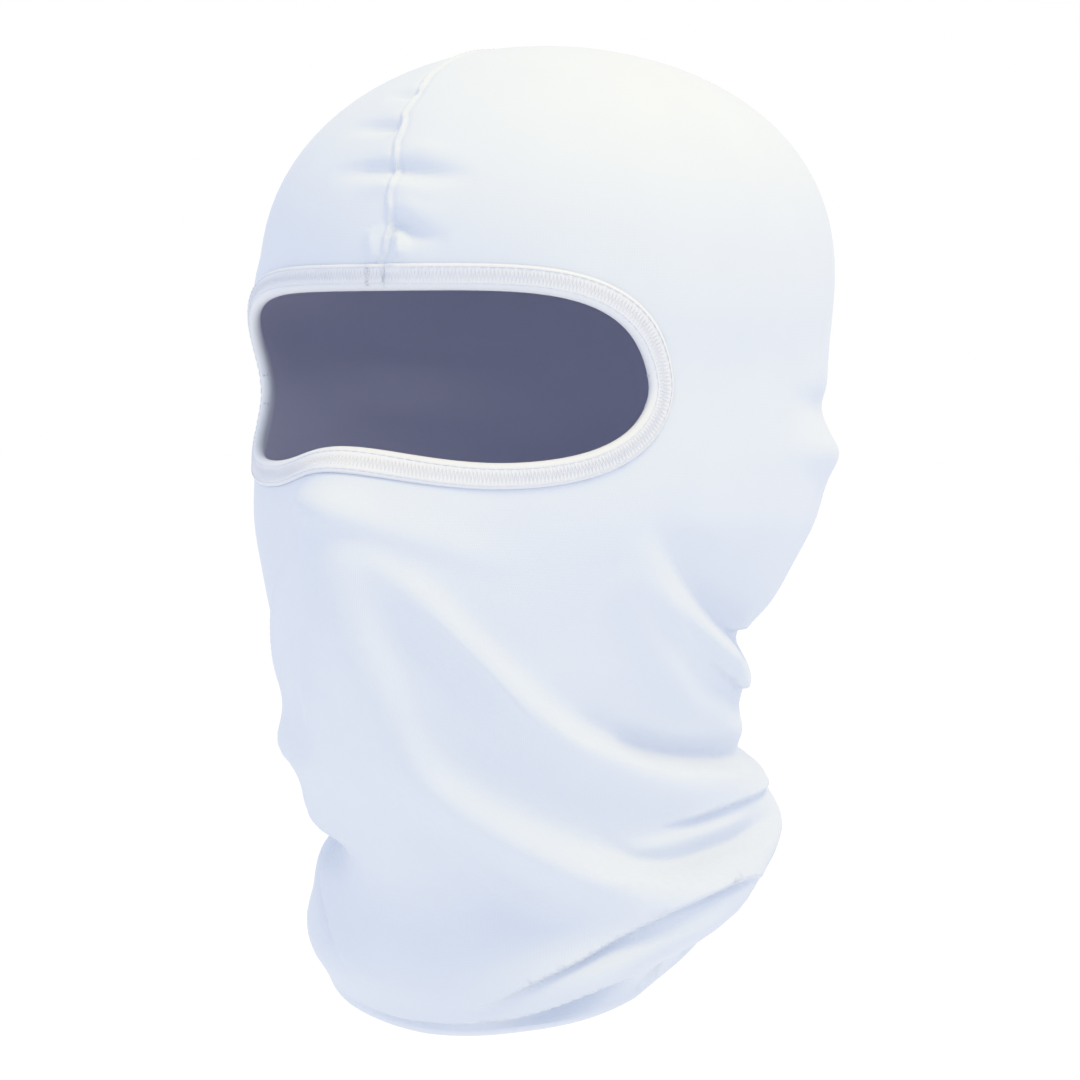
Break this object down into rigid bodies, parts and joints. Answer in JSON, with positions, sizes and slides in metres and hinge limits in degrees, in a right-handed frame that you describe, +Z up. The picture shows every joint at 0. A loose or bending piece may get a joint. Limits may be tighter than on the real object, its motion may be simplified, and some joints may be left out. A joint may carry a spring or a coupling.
{
  "type": "balaclava",
  "caption": "Close-fitting knit hood for head, face and neck, with one bound eye opening, a seam over the crown and a turned neck hem, shown in its worn shape.",
  "frame": {"origin": "centre of the wearer's head, midway between the ears at eye level", "axes": "+Z up, -Y the way the face looks, +X the wearer's left"},
  "size_m": [0.1652, 0.2308, 0.2895],
  "materials": {
    "outer_knit": "smooth white polyester and elastane jersey, matt with a soft sheen",
    "lining_knit": "matt white jersey, seen in shade",
    "binding_knit": "white folded jersey strip, matt",
    "thread": "white textured polyester sewing thread, slightly glossy"
  },
  "bodies": {
    "root": {"outer_panel": "outer_knit", "lining_panel": "lining_knit", "eye_binding": "binding_knit", "binding_edge_thread": "thread", "binding_rim_thread": "thread", "binding_cover_thread": "thread", "binding_join_tack": "thread", "seam_needle_thread": "thread", "seam_overlock_thread": "thread", "seam_end_tack": "thread", "hem_blind_thread": "thread"}
  },
  "joints": []
}
